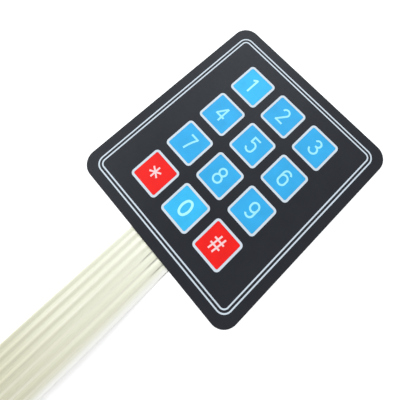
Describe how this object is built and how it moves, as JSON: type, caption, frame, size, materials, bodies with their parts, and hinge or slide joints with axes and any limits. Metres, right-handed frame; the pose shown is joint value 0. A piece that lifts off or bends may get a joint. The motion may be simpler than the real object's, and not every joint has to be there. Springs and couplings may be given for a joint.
{
  "type": "membrane keypad",
  "caption": "Flat telephone-style matrix membrane keypad: laminated panel with snap dome keys and a flat film tail that ends in a socket connector.",
  "frame": {"origin": "middle of the panel's rear face, on the release liner", "axes": "+X to the right along a row of keys, +Y up the columns as the digits are read, +Z out of the panel's front; the tail leaves along -Y"},
  "size_m": [0.0692, 0.1619, 0.0041],
  "materials": {
    "black_print": "fine matte",
    "blue_print": "fine matte",
    "red_print": "fine matte",
    "white_print": "fine matte",
    "clear_film": "satin",
    "cover_film": "satin",
    "spacer_film": "satin",
    "adhesive": "dull",
    "liner_paper": "satin",
    "silver_ink": "satin",
    "dome_steel": "satin",
    "contact_metal": "tin plate",
    "housing_plastic": "matte"
  },
  "bodies": {
    "laminate": {"release_liner": "liner_paper", "rear_adhesive": "adhesive", "circuit_film": "clear_film", "row_track_1": "silver_ink", "row_track_2": "silver_ink", "row_track_3": "silver_ink", "row_track_4": "silver_ink", "column_track_1": "silver_ink", "column_track_2": "silver_ink", "column_track_3": "silver_ink", "tail_cover": "cover_film", "dome_locator": "spacer_film", "dome_1": "dome_steel", "dome_2": "dome_steel", "dome_3": "dome_steel", "dome_4": "dome_steel", "dome_5": "dome_steel", "dome_6": "dome_steel", "dome_7": "dome_steel", "dome_8": "dome_steel", "dome_9": "dome_steel", "dome_star": "dome_steel", "dome_0": "dome_steel", "dome_hash": "dome_steel", "key_spacer": "spacer_film", "overlay_adhesive": "adhesive", "graphic_overlay": "black_print", "frame_lines": "white_print", "key_borders": "white_print", "connector_housing": "housing_plastic", "contact_1": "contact_metal", "contact_2": "contact_metal", "contact_3": "contact_metal", "contact_4": "contact_metal", "contact_5": "contact_metal", "contact_6": "contact_metal", "contact_7": "contact_metal"},
    "1_key": {"key_1": "blue_print"},
    "2_key": {"key_2": "blue_print"},
    "3_key": {"key_3": "blue_print"},
    "4_key": {"key_4": "blue_print"},
    "5_key": {"key_5": "blue_print"},
    "6_key": {"key_6": "blue_print"},
    "7_key": {"key_7": "blue_print"},
    "8_key": {"key_8": "blue_print"},
    "9_key": {"key_9": "blue_print"},
    "star_key": {"key_star": "red_print"},
    "0_key": {"key_0": "blue_print"},
    "hash_key": {"key_hash": "red_print"}
  },
  "joints": [
    {"name": "press_1", "type": "slide", "parent": "laminate", "child": "1_key", "axis": [0, 0, 1], "range_m": [-0.00025, 0], "stiffness_N_per_m": 8000, "deforming": ["dome_1"]},
    {"name": "press_2", "type": "slide", "parent": "laminate", "child": "2_key", "axis": [0, 0, 1], "range_m": [-0.00025, 0], "stiffness_N_per_m": 8000, "deforming": ["dome_2"]},
    {"name": "press_3", "type": "slide", "parent": "laminate", "child": "3_key", "axis": [0, 0, 1], "range_m": [-0.00025, 0], "stiffness_N_per_m": 8000, "deforming": ["dome_3"]},
    {"name": "press_4", "type": "slide", "parent": "laminate", "child": "4_key", "axis": [0, 0, 1], "range_m": [-0.00025, 0], "stiffness_N_per_m": 8000, "deforming": ["dome_4"]},
    {"name": "press_5", "type": "slide", "parent": "laminate", "child": "5_key", "axis": [0, 0, 1], "range_m": [-0.00025, 0], "stiffness_N_per_m": 8000, "deforming": ["dome_5"]},
    {"name": "press_6", "type": "slide", "parent": "laminate", "child": "6_key", "axis": [0, 0, 1], "range_m": [-0.00025, 0], "stiffness_N_per_m": 8000, "deforming": ["dome_6"]},
    {"name": "press_7", "type": "slide", "parent": "laminate", "child": "7_key", "axis": [0, 0, 1], "range_m": [-0.00025, 0], "stiffness_N_per_m": 8000, "deforming": ["dome_7"]},
    {"name": "press_8", "type": "slide", "parent": "laminate", "child": "8_key", "axis": [0, 0, 1], "range_m": [-0.00025, 0], "stiffness_N_per_m": 8000, "deforming": ["dome_8"]},
    {"name": "press_9", "type": "slide", "parent": "laminate", "child": "9_key", "axis": [0, 0, 1], "range_m": [-0.00025, 0], "stiffness_N_per_m": 8000, "deforming": ["dome_9"]},
    {"name": "press_star", "type": "slide", "parent": "laminate", "child": "star_key", "axis": [0, 0, 1], "range_m": [-0.00025, 0], "stiffness_N_per_m": 8000, "deforming": ["dome_star"]},
    {"name": "press_0", "type": "slide", "parent": "laminate", "child": "0_key", "axis": [0, 0, 1], "range_m": [-0.00025, 0], "stiffness_N_per_m": 8000, "deforming": ["dome_0"]},
    {"name": "press_hash", "type": "slide", "parent": "laminate", "child": "hash_key", "axis": [0, 0, 1], "range_m": [-0.00025, 0], "stiffness_N_per_m": 8000, "deforming": ["dome_hash"]}
  ]
}
